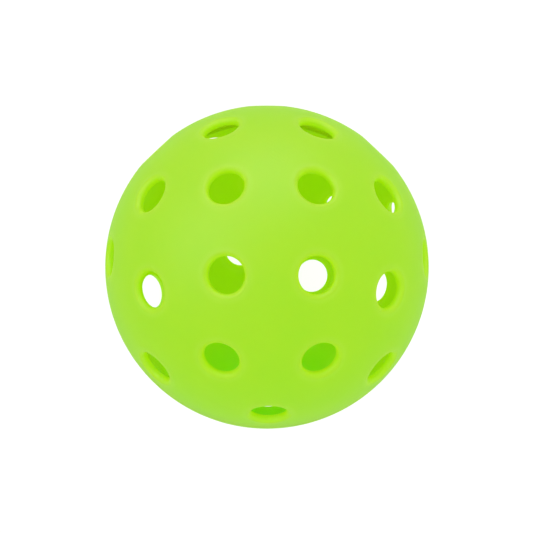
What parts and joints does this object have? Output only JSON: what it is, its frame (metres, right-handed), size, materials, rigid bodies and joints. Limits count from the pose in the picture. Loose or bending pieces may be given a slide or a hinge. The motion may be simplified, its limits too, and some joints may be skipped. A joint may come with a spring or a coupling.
{
  "type": "pickleball ball",
  "caption": "Hollow perforated plastic court ball: half shells welded together at a seam, with rings of round, round-rimmed air holes.",
  "frame": {"origin": "the ball's centre, in the plane of the seam", "axes": "+Z from the seam plane through the upper half's pole; +X through the middle of one of the upper half's holes nearest the seam, seen from above"},
  "size_m": [0.074, 0.074, 0.074],
  "materials": {
    "shell_plastic": "moulded lime green polyethylene, satin, slightly translucent",
    "weld_plastic": "the same plastic, melted and set again"
  },
  "bodies": {
    "root": {"upper_half_shell": "shell_plastic", "lower_half_shell": "shell_plastic", "seam_weld_bead": "weld_plastic"}
  },
  "joints": []
}
